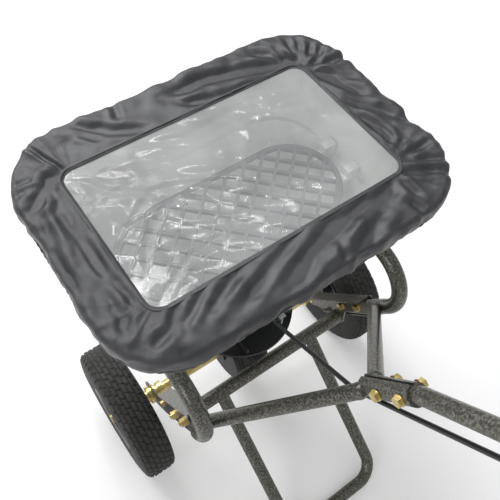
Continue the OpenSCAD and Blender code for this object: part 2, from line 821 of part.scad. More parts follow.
module gate_plate() {
    color(steel) {
        difference() {
            union() {
                translate([-gate_a, -60, gate_top - gate_t]) cube([2 * gate_a, 164, gate_t]);
                translate([ear_x - 4, -85, gate_top - gate_t]) cube([12, 30, gate_t]);
            }
            for (o = outlets)
                translate([o.x, o.y + gate_travel, gate_top - gate_t - 1]) cylinder(h = gate_t + 2, r = outlet_r);
            translate([-8, -8, gate_top - gate_t - 1]) cube([16, gate_travel + 16, gate_t + 2]);
        }
        difference() {
            translate([ear_x, -85, gate_pin.z - 9]) cube([3, 18, gate_top - gate_t - gate_pin.z + 9]);
            translate([ear_x - 1, gate_pin.y, gate_pin.z]) rotate([0, 90, 0])
                cylinder(h = 5, d = rod_d + 2 * run_c);
        }
    }
}

module gate_guides() {
    color(steel) for (s = [-1, 1]) mirror([s < 0 ? 1 : 0, 0, 0]) difference() {
        translate([gate_a - 6, -78, gate_top - gate_t - 3]) cube([13, 166, floor_z - gate_top + gate_t + 2.97]);
        translate([gate_a - 7, -79, gate_top - gate_t - 0.5]) cube([7.4, 168, 20]);
    }
}

// Axle, what sits on it, and its fastenings
axle_end = wheel_x + tyre_w / 2 - 1;
hub_in = 31;
hub_out = 18;
hub_flange = 2;
clip_x = axle_end - 6;
collar_len = 10;
collar_x = side_x - bush_in - collar_len - 0.2;
drive_x = wheel_x - 10;
gear_pin_x = 25;

module axle_line() {
    translate([0, 0, wheel_r]) rotate([0, 90, 0]) children();
}

module axle() {
    color(zinc) difference() {
        axle_line() cylinder(h = 2 * axle_end, d = axle_d, center = true);
        for (x = [-clip_x, clip_x]) translate([x, 0, wheel_r]) cylinder(h = 40, d = 4, center = true);
        translate([-drive_x, 0, wheel_r]) cylinder(h = 40, d = 6, center = true);
        translate([gear_pin_x, 0, wheel_r]) cylinder(h = 40, d = 5, center = true);
    }
}

module axle_ring(x, od, len) {
    translate([x, 0, 0]) axle_line() difference() {
        cylinder(h = len, d = od);
        translate([0, 0, -1]) cylinder(h = len + 2, d = axle_d);
    }
}

module axle_collars() {
    color(zinc) for (s = [-1, 1]) mirror([s < 0 ? 1 : 0, 0, 0]) axle_ring(collar_x, 29, collar_len);
}

module axle_washers() {
    color(zinc) for (s = [-1, 1]) mirror([s < 0 ? 1 : 0, 0, 0]) {
        axle_ring(side_x + bush_out + 0.6, 30, 2.2);
        axle_ring(wheel_x + hub_out + hub_flange + 0.2, 32, 2.2);
    }
}

// Ring clips: a straight leg through the axle and a ring round it
module axle_clips() {
    color(steel) for (x = [-clip_x, clip_x]) translate([x, 0, wheel_r]) {
        cylinder(h = 34, d = 4, center = true);
        rotate([0, 90, 0]) rotate_extrude(angle = 180) translate([17, 0]) circle(d = 3);
    }
}

module drive_pin() {
    color(steel) translate([-drive_x, 0, wheel_r]) cylinder(h = 42, d = 6, center = true);
}

module gear_pin() {
    color(steel) translate([gear_pin_x, 0, wheel_r]) cylinder(h = 32, d = 5, center = true);
}

// Gearbox: a split housing round the axle, a tower for the upright shaft, ribs, an arm to the cross tube
box_r = 60;
box_w = [-36, 34];
tower_r = 18;
tower_top = 208;
arm_turn = atan2(cross_z - wheel_r, cross_y);
arm_reach = norm([cross_y, cross_z - wheel_r]);
screw_turns = [20, 68, 122, 180, 235, 290, 335];
lug_r = box_r + 6;
lug_half = 12;
face_w = 10;
gear_r = gear_m * gear_teeth / 2;
pinion_r = gear_m * pinion_teeth / 2;

module gearbox() {
    difference() {
        union() {
            translate([box_w[0], 0, 0]) axle_line() cylinder(h = box_w[1] - box_w[0], r = box_r);
            translate([box_w[0] - 4, 0, 0]) axle_line() cylinder(h = box_w[1] - box_w[0] + 8, d = 40);
            translate([0, 0, wheel_r]) cylinder(h = tower_top - wheel_r, r = tower_r);
            for (t = screw_turns) translate([-lug_half, 0, wheel_r]) rotate([t, 0, 0]) {
                translate([0, lug_r, 0]) rotate([0, 90, 0]) cylinder(h = 2 * lug_half, r = 6);
                translate([0, box_r - 3, -6]) cube([2 * lug_half, lug_r - box_r + 3, 12]);
            }
            for (x = [-27, -21, 18.5, 24.5]) translate([x, 0, 0]) axle_line() cylinder(h = 2.5, r = box_r + 2.5);
            translate([-11, 0, wheel_r]) rotate([arm_turn, 0, 0])
                translate([0, box_r - 6, -7]) cube([22, arm_reach - box_r + 2, 14]);
        }
        translate([box_w[0] + 4, 0, 0]) axle_line() cylinder(h = box_w[1] - box_w[0] - 8, r = box_r - 4);
        axle_line() cylinder(h = 120, d = axle_d + 0.6, center = true);
        translate([0, 0, wheel_r]) cylinder(h = 58, r = tower_r - 2.6);
        translate([0, 0, wheel_r]) cylinder(h = 120, d = bush_d);
        strut([-60, cross_y, cross_z], [60, cross_y, cross_z], frame_d);
        for (t = screw_turns) translate([-40, 0, wheel_r]) rotate([t, 0, 0])
            translate([0, lug_r, 0]) rotate([0, 90, 0]) cylinder(h = 80, d = 5);
    }
}

module gearbox_left() {
    color(black) difference() {
        gearbox();
        translate([0, -150, 0]) cube([150, 300, 300]);
    }
}

module gearbox_right() {
    color(black) difference() {
        gearbox();
        translate([-150, -150, 0]) cube([150, 300, 300]);
    }
}

module gearbox_screws() {
    color(steel) for (t = screw_turns) translate([-lug_half - 1.4, 0, wheel_r]) rotate([t, 0, 0])
        translate([0, lug_r, 0]) mirror([1, 0, 0]) bolt_x(5, 2 * lug_half);
}

// Crown gear: radial teeth on the side of a disc, thin enough to run free of the pinion
tooth_top = 2;
tooth_root = 2.4;

module drive_gear() {
    face = pinion_r + tooth_root;
    color("#d8d3c4") translate([0, 0, wheel_r]) difference() {
        union() {
            translate([face, 0, 0]) rotate([0, 90, 0]) cylinder(h = 6, r = gear_r + face_w / 2);
            translate([face, 0, 0]) rotate([0, 90, 0]) cylinder(h = 15, d = 32);
            for (k = [0:gear_teeth - 1]) rotate([(k + 0.5) * 360 / gear_teeth, 0, 0])
                translate([face, 0, gear_r - face_w / 2]) linear_extrude(face_w - 1)
                    polygon([[1, -1.7], [1, 1.7], [0, 1.7], [-tooth_root - tooth_top, 0.55],
                        [-tooth_root - tooth_top, -0.55], [0, -1.7]]);
        }
        rotate([0, 90, 0]) cylinder(h = 100, d = axle_d, center = true);
        translate([gear_pin_x, 0, 0]) cylinder(h = 40, d = 5, center = true);
    }
}

module pinion() {
    color("#d8d3c4") translate([0, 0, wheel_r + gear_r - face_w / 2 + 0.5]) linear_extrude(face_w - 1)
        difference() {
            union() {
                circle(pinion_r - tooth_root);
                for (k = [0:pinion_teeth - 1]) rotate(k * 360 / pinion_teeth)
                    polygon([[8, -2], [pinion_r - tooth_root, -1.8], [pinion_r + tooth_top, -0.6],
                        [pinion_r + tooth_top, 0.6], [pinion_r - tooth_root, 1.8], [8, 2]]);
            }
            circle(d = shaft_d);
        }
}

// Upright shaft, its two bushes, the disc with curved fins and the agitator
shaft_low = 165;
shaft_top = 404;
agitator_z = 366;

module impeller_shaft() {
    color(steel) difference() {
        translate([0, 0, shaft_low]) cylinder(h = shaft_top - shaft_low, d = shaft_d);
        translate([0, 0, agitator_z]) rotate([0, 90, 0]) cylinder(h = 40, d = 6, center = true);
    }
}

module shaft_bush() {
    color("#e8e0c8") {
        translate([0, 0, tower_top - 20]) difference() {
            union() {
                cylinder(h = 20, d = bush_d);
                translate([0, 0, 20]) cylinder(h = 3, d = 28);
            }
            translate([0, 0, -1]) cylinder(h = 30, d = shaft_d + 2 * run_c);
        }
        translate([0, 0, floor_z]) difference() {
            union() {
                cylinder(h = 9, d = bush_d);
                translate([0, 0, 4]) cylinder(h = 2, d = 26);
            }
            translate([0, 0, -1]) cylinder(h = 30, d = shaft_d + 2 * run_c);
        }
    }
}

module impeller() {
    color(black) difference() {
        union() {
            translate([0, 0, disc_z]) cylinder(h = 3, r = disc_r);
            translate([0, 0, disc_z - 12]) cylinder(h = 30, d = 30);
            translate([0, 0, disc_z]) difference() {
                cylinder(h = 6, r = disc_r);
                translate([0, 0, -1]) cylinder(h = 8, r = disc_r - 2);
            }
            for (k = [0:4]) rotate(k * 72) translate([0, 0, disc_z + 3]) intersection() {
                translate([12, 74, 0]) difference() {
                    cylinder(h = 20, r = 75.5);
                    translate([0, 0, -1]) cylinder(h = 22, r = 73);
                }
                cube([disc_r - 4, 66, 40]);
                cylinder(h = 40, r = disc_r - 3);
            }
        }
        translate([0, 0, disc_z - 20]) cylinder(h = 60, d = shaft_d);
    }
}

module agitator() {
    color(steel) {
        translate([0, 0, agitator_z]) rotate([0, 90, 0]) cylinder(h = 84, d = 6, center = true);
        for (s = [-1, 1]) translate([s * 39, 0, agitator_z - 8]) cylinder(h = 30, d = 6);
    }
}

// Wheel: tyre profile [radius, distance from the middle plane], half of it and mirrored
tyre_half = [
    [53, 20], [60, 26.4], [63, 27.2], [78, tyre_w / 2 - 0.5], [96, tyre_w / 2], [112, tyre_w / 2 - 2.5],
    [wheel_r - 4, tyre_w / 2 - 6], [wheel_r, tyre_w / 2 - 14],
];
tube_half = [
    [53, 14], [62, 20], [80, tyre_w / 2 - 7], [96, tyre_w / 2 - 7], [109, tyre_w / 2 - 9],
    [wheel_r - 12, tyre_w / 2 - 16],
];
rim_half = [[20, 30], [62, 30], [62, 27.5], [52.5, 25], [52.5, 12], [43, 7]];
rim_in = [[40.5, 9], [50, 13.5], [50, 27.2], [59.5, 29.6]];

function both(half) = concat(half, [for (i = [len(half) - 1:-1:0]) [half[i][0], -half[i][1]]]);

module wheel_at(side) {
    translate([side * wheel_x, 0, wheel_r]) rotate([0, side * 90, 0]) children();
}

module tyre(side) {
    color("#2b2c29") wheel_at(side) difference() {
        rotate_extrude($fn = 96) difference() {
            polygon(both(tyre_half));
            polygon(both(tube_half));
        }
        rotate_extrude($fn = 96) for (x = [-17, -6, 6, 17])
            translate([wheel_r - 4, x - 1.2]) square([8, 2.4]);
    }
}

valve_r = 44;

module rim(side) {
    color("#3c3d3f") wheel_at(side) difference() {
        union() {
            rotate_extrude($fn = 96) difference() {
                polygon(both(rim_half));
                polygon(concat([[20, 9]], rim_in, [[80, 40], [20, 40]]));
                polygon(concat([[20, -9]], [for (p = rim_in) [p[0], -p[1]]], [[80, -40], [20, -40]]));
                square([20, 80], center = true);
            }
            translate([0, 0, 5]) cylinder(h = 3, r = 43);
            translate([0, 0, -hub_in]) cylinder(h = hub_in + hub_out, d = 34);
        }
        difference() {
            translate([0, 0, -10]) cylinder(h = 15, r = 40.5);
            cylinder(h = 80, d = 34, center = true);
        }
        cylinder(h = 80, d = 26, center = true);
        for (k = [0:4]) rotate(k * 72 + 36) translate([29, 0, -20]) cylinder(h = 60, r = 6.5);
        translate([valve_r, 0, 5]) cylinder(h = 30, d = 6.2);
        if (side < 0) translate([0, 0, -10]) rotate([0, 90, 0]) cylinder(h = 60, d = 6, center = true);
    }
}

module valve(side) {
    color(black) wheel_at(side) translate([valve_r, 0, 9.2]) {
        cylinder(h = 16, d = 6);
        translate([0, 0, 15]) cylinder(h = 6, d = 7.6);
    }
}

module wheel_bushes(side) {
    color("#e8e0c8") wheel_at(side) for (s = [0, 1]) mirror([0, 0, s]) difference() {
        union() {
            translate([0, 0, (s ? hub_in : hub_out) - 17]) cylinder(h = 17, d = 26);
            translate([0, 0, s ? hub_in : hub_out]) cylinder(h = hub_flange, d = 32);
        }
        cylinder(h = 80, d = axle_d + 2 * run_c);
    }
}

module left_tyre() { tyre(-1); }
module right_tyre() { tyre(1); }
module left_rim() { rim(-1); }
module right_rim() { rim(1); }
module left_valve() { valve(-1); }
module right_valve() { valve(1); }
module left_wheel_bushes() { wheel_bushes(-1); }
module right_wheel_bushes() { wheel_bushes(1); }

placed() hopper();
placed() screen_clips();
placed() debris_screen();
placed() cover_skirt();
placed() cover_window();
placed() cover_hem();
placed() frame_tube();
placed() left_bracket();
placed() right_bracket();
placed() cross_tube();
placed() stand();
placed() stand_feet();
placed() left_handle_tube();
placed() right_handle_tube();
placed() handle_column();
placed() handle_bar();
placed() left_grip();
placed() right_grip();
placed() bar_bolt();
placed() handle_bolts();
placed() handle_nuts();
placed() frame_bolts();
placed() frame_nuts();
placed() hopper_bolts();
placed() gauge_plate();
placed() control_lever();
placed() lever_knob();
placed() lever_pivot();
placed() rate_stop();
placed() stop_thumbscrew();
placed() control_rod();
placed() gate_plate();
placed() gate_guides();
placed() axle();
placed() left_axle_bush();
placed() right_axle_bush();
placed() axle_collars();
placed() axle_washers();
placed() axle_clips();
placed() drive_pin();
placed() gearbox_left();
placed() gearbox_right();
placed() gearbox_screws();
placed() drive_gear();
placed() gear_pin();
placed() pinion();
placed() impeller_shaft();
placed() shaft_bush();
placed() impeller();
placed() agitator();
placed() left_tyre();
placed() left_rim();
placed() left_valve();
placed() left_wheel_bushes();
placed() right_tyre();
placed() right_rim();
placed() right_valve();
placed() right_wheel_bushes();
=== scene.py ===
import json
import math
import bpy
import numpy as np
from mathutils import Matrix, Vector


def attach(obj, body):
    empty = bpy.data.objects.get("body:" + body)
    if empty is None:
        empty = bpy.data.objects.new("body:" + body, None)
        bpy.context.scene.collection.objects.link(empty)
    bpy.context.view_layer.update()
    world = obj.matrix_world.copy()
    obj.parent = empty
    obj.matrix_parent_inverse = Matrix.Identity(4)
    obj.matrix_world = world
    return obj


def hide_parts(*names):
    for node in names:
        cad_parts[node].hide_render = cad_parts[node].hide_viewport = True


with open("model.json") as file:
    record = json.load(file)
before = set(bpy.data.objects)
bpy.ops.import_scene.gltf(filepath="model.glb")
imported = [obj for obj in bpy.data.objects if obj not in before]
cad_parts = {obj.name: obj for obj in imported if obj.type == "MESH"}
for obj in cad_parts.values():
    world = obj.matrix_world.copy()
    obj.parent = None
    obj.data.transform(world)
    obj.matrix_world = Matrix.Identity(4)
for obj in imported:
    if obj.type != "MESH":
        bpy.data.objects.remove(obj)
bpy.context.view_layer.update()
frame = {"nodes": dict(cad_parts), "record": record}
nodes = frame["nodes"]
shiftY = 0.226792  # the axle lies this far ahead of the origin


# Camera: place and turn come from fitting both tyres, the cover and the window
camera = {
    "place": (-0.3234, -0.3979 + shiftY, 1.2702),
    "yaw": 0.706,
    "pitch": 1.007,
    "roll": 0.102,
    "focalPixels": 638.9,
    "photoWidth": 500,
    "sensor": 36,
    "shift": (-0.0012, 0.0014),
}


def makeCamera(p):
    # forward f, level right r0 = (cos yaw, -sin yaw, 0), up u0 = r0 x f, both turned by roll about f
    level = math.cos(p["pitch"])
    f = Vector((math.sin(p["yaw"]) * level, math.cos(p["yaw"]) * level, -math.sin(p["pitch"])))
    r0 = Vector((math.cos(p["yaw"]), -math.sin(p["yaw"]), 0))
    u0 = r0.cross(f)
    right = r0 * math.cos(p["roll"]) + u0 * math.sin(p["roll"])
    up = u0 * math.cos(p["roll"]) - r0 * math.sin(p["roll"])
    data = bpy.data.cameras.new("photoCamera")
    data.sensor_width = p["sensor"]
    data.sensor_fit = "HORIZONTAL"
    data.lens = p["sensor"] * p["focalPixels"] / p["photoWidth"]
    data.shift_x, data.shift_y = p["shift"]
    data.clip_start = 0.02
    obj = bpy.data.objects.new("photoCamera", data)
    bpy.context.scene.collection.objects.link(obj)
    turn = Matrix((right, up, -f)).transposed().to_4x4()
    obj.matrix_world = Matrix.Translation(p["place"]) @ turn
    bpy.context.scene.camera = obj


makeCamera(camera)
print("camera set")


# Colour and node helpers
def linear(hexColour):
    # sRGB hex to linear: v / 12.92 below 0.04045, else ((v + 0.055) / 1.055) ^ 2.4
    parts = [int(hexColour[i:i + 2], 16) / 255 for i in (1, 3, 5)]
    return tuple(v / 12.92 if v < 0.04045 else ((v + 0.055) / 1.055) ** 2.4 for v in parts) + (1,)


def add(tree, kind, inputs=None, stops=None, **settings):
    # a node with its settings; an input that is a socket becomes a link, anything else a value;
    # stops fill a colour ramp with places and hex colours
    node = tree.nodes.new(kind)
    for name, value in settings.items():
        setattr(node, name, value)
    for key, value in (inputs or {}).items():
        if isinstance(value, bpy.types.NodeSocket):
            tree.links.new(value, node.inputs[key])
        else:
            node.inputs[key].default_value = value
    while stops and len(node.color_ramp.elements) < len(stops):
        node.color_ramp.elements.new(0.5)
    for element, (place, colour) in zip(node.color_ramp.elements if stops else [], stops or []):
        element.position = place
        element.color = linear(colour)
    return node


def newMaterial(name, base, roughness, metallic=0.0, **extra):
    # a material whose shader holds the uniform values; returns its tree, shader and object coordinates
    material = bpy.data.materials.new(name)
    material.use_nodes = True
    tree = material.node_tree
    shader = tree.nodes["Principled BSDF"]
    shader.inputs["Base Color"].default_value = linear(base)
    shader.inputs["Roughness"].default_value = roughness
    shader.inputs["Metallic"].default_value = metallic
    for key, value in extra.items():
        shader.inputs[key.replace("_", " ")].default_value = value
    coords = add(tree, "ShaderNodeTexCoord").outputs["Object"]
    return material, tree, shader, coords


# Hammered enamel on steel tube: cells about 3 mm across, olive grey with a little silver flake at random,
# painted shade in the dimples and a painted highlight on their rims
def hammeredEnamel():
    material, tree, shader, coords = newMaterial("hammeredEnamel", "#4a4943", 0.36, 0.5,
                                                 Coat_Weight=0.4, Coat_Roughness=0.2)
    cells = add(tree, "ShaderNodeTexVoronoi", {"Vector": coords, "Scale": 300.0, "Smoothness": 0.6},
                feature="SMOOTH_F1")
    flake = add(tree, "ShaderNodeTexNoise", {"Vector": coords, "Scale": 520.0, "Detail": 3.0,
                                             "Roughness": 0.7})
    # the colour follows the same cells as the bump: painted shade at the dimples' middles and a painted
    # highlight towards their rims, times the flake at random
    paintedDimpleShade = add(tree, "ShaderNodeMath", {0: cells.outputs["Distance"], 1: 0.62}, operation="ADD")
    flakeAndDimpleShade = add(tree, "ShaderNodeMath", {0: flake.outputs["Fac"], 1: paintedDimpleShade.outputs[0]},
               operation="MULTIPLY")
    tint = add(tree, "ShaderNodeValToRGB", {"Fac": flakeAndDimpleShade.outputs[0]},
               stops=[(0.3, "#33322d"), (0.46, "#45443d"), (0.58, "#57564e"), (0.76, "#7e7c72")])
    tree.links.new(tint.outputs["Color"], shader.inputs["Base Color"])
    bump = add(tree, "ShaderNodeBump", {"Height": cells.outputs["Distance"], "Strength": 0.35,
                                        "Distance": 0.0005})
    tree.links.new(bump.outputs["Normal"], shader.inputs["Normal"])
    return material


# Satin black enamel on the rod and dark enamel on the pressed rims: even, faint orange peel
def plainEnamel(name, colour, roughness):
    material, tree, shader, coords = newMaterial(name, colour, roughness, Coat_Weight=0.2)
    peel = add(tree, "ShaderNodeTexNoise", {"Vector": coords, "Scale": 500.0, "Detail": 2.0})
    dust = add(tree, "ShaderNodeTexNoise", {"Vector": coords, "Scale": 30.0, "Detail": 5.0})
    rough = add(tree, "ShaderNodeMapRange", {"Value": dust.outputs["Fac"], "To Min": roughness - 0.06,
                                             "To Max": roughness + 0.12})
    tree.links.new(rough.outputs[0], shader.inputs["Roughness"])
    bump = add(tree, "ShaderNodeBump", {"Height": peel.outputs["Fac"], "Strength": 0.25,
                                        "Distance": 0.0003})
    tree.links.new(bump.outputs["Normal"], shader.inputs["Normal"])
    return material


# Yellow zinc plating: gold with slow drifts towards green and rose, light scratches
def yellowZinc():
    material, tree, shader, coords = newMaterial("yellowZincPlate", "#d3bd77", 0.3, 1.0)
    drift = add(tree, "ShaderNodeTexNoise", {"Vector": coords, "Scale": 55.0, "Detail": 3.0,
                                             "Distortion": 0.8})
    tint = add(tree, "ShaderNodeValToRGB", {"Fac": drift.outputs["Fac"]},
               stops=[(0.3, "#b8b27a"), (0.45, "#d8c27c"), (0.6, "#e4cf95"), (0.72, "#cfa98a")])
    tree.links.new(tint.outputs["Color"], shader.inputs["Base Color"])
    scratch = add(tree, "ShaderNodeTexNoise", {"Vector": coords, "Scale": 900.0, "Detail": 2.0})
    rough = add(tree, "ShaderNodeMapRange", {"Value": scratch.outputs["Fac"], "To Min": 0.2,
                                             "To Max": 0.42})
    tree.links.new(rough.outputs[0], shader.inputs["Roughness"])
    return material


# Clear zinc plating on pressed steel: grey with crystal blotches a few millimetres wide
def clearZinc():
    material, tree, shader, coords = newMaterial("clearZincPlate", "#aeb1b4", 0.38, 1.0)
    spangle = add(tree, "ShaderNodeTexVoronoi", {"Vector": coords, "Scale": 220.0})
    tint = add(tree, "ShaderNodeValToRGB", {"Fac": spangle.outputs["Color"]},
               stops=[(0.2, "#9ea2a6"), (0.8, "#c2c5c7")])
    tree.links.new(tint.outputs["Color"], shader.inputs["Base Color"])
    rough = add(tree, "ShaderNodeMapRange", {"Value": spangle.outputs["Distance"], "To Min": 0.3,
                                             "To Max": 0.5})
    tree.links.new(rough.outputs[0], shader.inputs["Roughness"])
    return material


# Moulded plastics: matt, a fine spark-eroded grain, a little dust in blotches at random
def mouldedPlastic(name, colour, darker, roughness, grain=700.0, depth=0.0002):
    material, tree, shader, coords = newMaterial(name, colour, roughness)
    dust = add(tree, "ShaderNodeTexNoise", {"Vector": coords, "Scale": 14.0, "Detail": 6.0,
                                            "Roughness": 0.6})
    tint = add(tree, "ShaderNodeValToRGB", {"Fac": dust.outputs["Fac"]},
               stops=[(0.35, darker), (0.6, colour)])
    tree.links.new(tint.outputs["Color"], shader.inputs["Base Color"])
    fine = add(tree, "ShaderNodeTexNoise", {"Vector": coords, "Scale": grain, "Detail": 2.0})
    bump = add(tree, "ShaderNodeBump", {"Height": fine.outputs["Fac"], "Strength": 0.4,
                                        "Distance": depth})
    tree.links.new(bump.outputs["Normal"], shader.inputs["Normal"])
    return material


# Tread rubber: near black, dull, paler dust in blotches at random
def treadRubber():
    material, tree, shader, coords = newMaterial("treadRubber", "#2b2c2a", 0.66)
    grime = add(tree, "ShaderNodeTexNoise", {"Vector": coords, "Scale": 60.0, "Detail": 6.0,
                                             "Roughness": 0.65})
    tint = add(tree, "ShaderNodeValToRGB", {"Fac": grime.outputs["Fac"]},
               stops=[(0.3, "#1f201e"), (0.55, "#2b2c29"), (0.75, "#3a3b37")])
    tree.links.new(tint.outputs["Color"], shader.inputs["Base Color"])
    fine = add(tree, "ShaderNodeTexNoise", {"Vector": coords, "Scale": 1200.0, "Detail": 3.0})
    bump = add(tree, "ShaderNodeBump", {"Height": fine.outputs["Fac"], "Strength": 0.35,
                                        "Distance": 0.0003})
    tree.links.new(bump.outputs["Normal"], shader.inputs["Normal"])
    return material


# Coated nylon cloth: a fine plain weave, crushed surface with painted shade in its hollows and a painted
# highlight on its crests, and a soft gloss along the folds
def coatedNylon():
    material, tree, shader, coords = newMaterial("coatedNylonCloth", "#323336", 0.32)
    uv = add(tree, "ShaderNodeUVMap", uv_map="cloth").outputs["UV"]
    warp = add(tree, "ShaderNodeTexWave", {"Vector": uv, "Scale": 230.0}, bands_direction="X")
    weft = add(tree, "ShaderNodeTexWave", {"Vector": uv, "Scale": 230.0}, bands_direction="Y")
    weave = add(tree, "ShaderNodeMath", {0: warp.outputs["Fac"], 1: weft.outputs["Fac"]},
                operation="MULTIPLY")
    crush = add(tree, "ShaderNodeTexNoise", {"Vector": coords, "Scale": 34.0, "Detail": 5.0,
                                             "Roughness": 0.55, "Distortion": 0.6})
    # the colour follows the crush, the same noise as the bump: painted shade in its hollows, painted
    # highlight on its crests
    tint = add(tree, "ShaderNodeValToRGB", {"Fac": crush.outputs["Fac"]},
               stops=[(0.32, "#2c2d30"), (0.62, "#393a3e")])
    tree.links.new(tint.outputs["Color"], shader.inputs["Base Color"])
    both = add(tree, "ShaderNodeMath", {0: crush.outputs["Fac"], 1: 4.0, 2: weave.outputs[0]},
               operation="MULTIPLY_ADD")
    bump = add(tree, "ShaderNodeBump", {"Height": both.outputs[0], "Strength": 0.32,
                                        "Distance": 0.0009})
    tree.links.new(bump.outputs["Normal"], shader.inputs["Normal"])
    return material


# Clear vinyl film: see-through with a milky white veil, partly the film's haze and partly painted glare,
# glossy, creased by folding
def vinylFilm():
    material, tree, shader, coords = newMaterial("clearVinylFilm", "#f2f4f5", 0.07, IOR=1.53)
    hazeAndGlare = add(tree, "ShaderNodeTexNoise", {"Vector": coords, "Scale": 9.0, "Detail": 4.0,
                                            "Distortion": 1.2})
    # the white veil covers 17 to 28 %: partly the film's real haze and partly painted glare
    alpha = add(tree, "ShaderNodeMapRange", {"Value": hazeAndGlare.outputs["Fac"], "From Min": 0.3,
                                             "From Max": 0.7, "To Min": 0.17, "To Max": 0.28})
    tree.links.new(alpha.outputs[0], shader.inputs["Alpha"])
    crease = add(tree, "ShaderNodeTexNoise", {"Vector": coords, "Scale": 30.0, "Detail": 3.0,
                                              "Distortion": 0.8})
    bump = add(tree, "ShaderNodeBump", {"Height": crease.outputs["Fac"], "Strength": 0.15,
                                        "Distance": 0.002})
    tree.links.new(bump.outputs["Normal"], shader.inputs["Normal"])
    return material


# Closed-cell foam of the grips: black, dull, pores under a millimetre
def gripFoam():
    material, tree, shader, coords = newMaterial("closedCellFoam", "#1d1e1f", 0.85)
    pores = add(tree, "ShaderNodeTexVoronoi", {"Vector": coords, "Scale": 1300.0})
    bump = add(tree, "ShaderNodeBump", {"Height": pores.outputs["Distance"], "Strength": 0.5,
                                        "Distance": 0.0004})
    tree.links.new(bump.outputs["Normal"], shader.inputs["Normal"])
    return material


enamel = hammeredEnamel()
rodEnamel = plainEnamel("satinBlackEnamel", "#1b1c1d", 0.32)
rimEnamel = plainEnamel("darkRimEnamel", "#38393b", 0.4)
goldZinc = yellowZinc()
greyZinc = clearZinc()
hopperPlastic = mouldedPlastic("naturalPolyethylene", "#dcdedb", "#cfd1cd", 0.45)
screenPlastic = mouldedPlastic("greyPolypropylene", "#474b4d", "#3d4143", 0.5)
blackNylon = mouldedPlastic("blackGlassNylon", "#232426", "#1c1d1e", 0.5, 900.0, 0.0003)
gearNylon = mouldedPlastic("naturalNylon", "#d9d2bf", "#cfc7b2", 0.4)
softRubber = mouldedPlastic("mouldedRubber", "#1c1c1c", "#232322", 0.8)
tread = treadRubber()
cloth = coatedNylon()
film = vinylFilm()
foam = gripFoam()

finishes = {
    "hammertone": enamel, "black_enamel": rodEnamel, "rim_enamel": rimEnamel, "yellow_zinc": goldZinc,
    "plated_steel": greyZinc, "hopper_plastic": hopperPlastic, "screen_plastic": screenPlastic,
    "black_plastic": blackNylon, "gear_nylon": gearNylon, "grip_foam": foam, "black_rubber": softRubber,
    "tyre_rubber": tread, "cover_cloth": cloth, "elastic": cloth, "window_film": film,
}
for part in frame["record"]["subparts"]:
    obj = nodes[part["node"]]
    if not obj.material_slots:
        obj.data.materials.append(None)
    for place in obj.material_slots:
        place.material = finishes[part["material_slot"]]
print("materials made")


# Mesh helpers
def gridMesh(name, points, wrapU=False, wrapV=False, uv=None, flip=False):
    # points is an array (u, v, 3); neighbours become quads, and a wrapped side joins its ends
    nu, nv = points.shape[:2]
    iu = np.arange(nu if wrapU else nu - 1)
    iv = np.arange(nv if wrapV else nv - 1)
    a, b = np.meshgrid(iu, iv, indexing="ij")
    a2, b2 = (a + 1) % nu, (b + 1) % nv
    quads = np.stack([a * nv + b, a2 * nv + b, a2 * nv + b2, a * nv + b2], axis=-1).reshape(-1, 4)
    if flip:
        quads = quads[:, ::-1]
    mesh = bpy.data.meshes.new(name)
    mesh.vertices.add(nu * nv)
    mesh.vertices.foreach_set("co", points.astype(np.float32).ravel())
    mesh.loops.add(quads.size)
    mesh.loops.foreach_set("vertex_index", quads.astype(np.int32).ravel())
    mesh.polygons.add(len(quads))
    mesh.polygons.foreach_set("loop_start", np.arange(0, quads.size, 4, dtype=np.int32))
    mesh.polygons.foreach_set("use_smooth", np.ones(len(quads), dtype=bool))
    if uv is not None:
        layer = mesh.uv_layers.new(name="cloth")
        layer.data.foreach_set("uv", uv.reshape(-1, 2)[quads.ravel()].astype(np.float32).ravel())
    mesh.update(calc_edges=True)
    mesh.validate()
    obj = bpy.data.objects.new(name, mesh)
    bpy.context.scene.collection.objects.link(obj)
    return obj


def dress(obj, material, slotName, body, *replaced):
    obj.data.materials.append(material)
    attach(obj, body)
    if replaced:
        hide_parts(*replaced)
    return obj


def ramp(v, start, length):
    # 0 up to start, 1 from start + length on, and straight between them
    return np.clip((v - start) / length, 0, 1)


def waves(x, y, seed, count, size):
    # sum of sine waves in random directions, each about size long, scaled to about -1..1
    rng = np.random.default_rng(seed)
    total = np.zeros_like(x)
    angles = rng.uniform(0, math.pi, count)
    stretches = rng.uniform(0.7, 1.5, count)
    phases = rng.uniform(0, 6.28, count)
    for angle, stretch, phase in zip(angles, stretches, phases):
        across = x * math.cos(angle) + y * math.sin(angle)
        total += np.sin(across * 2 * math.pi / (size * stretch) + phase)
    return total / math.sqrt(count)


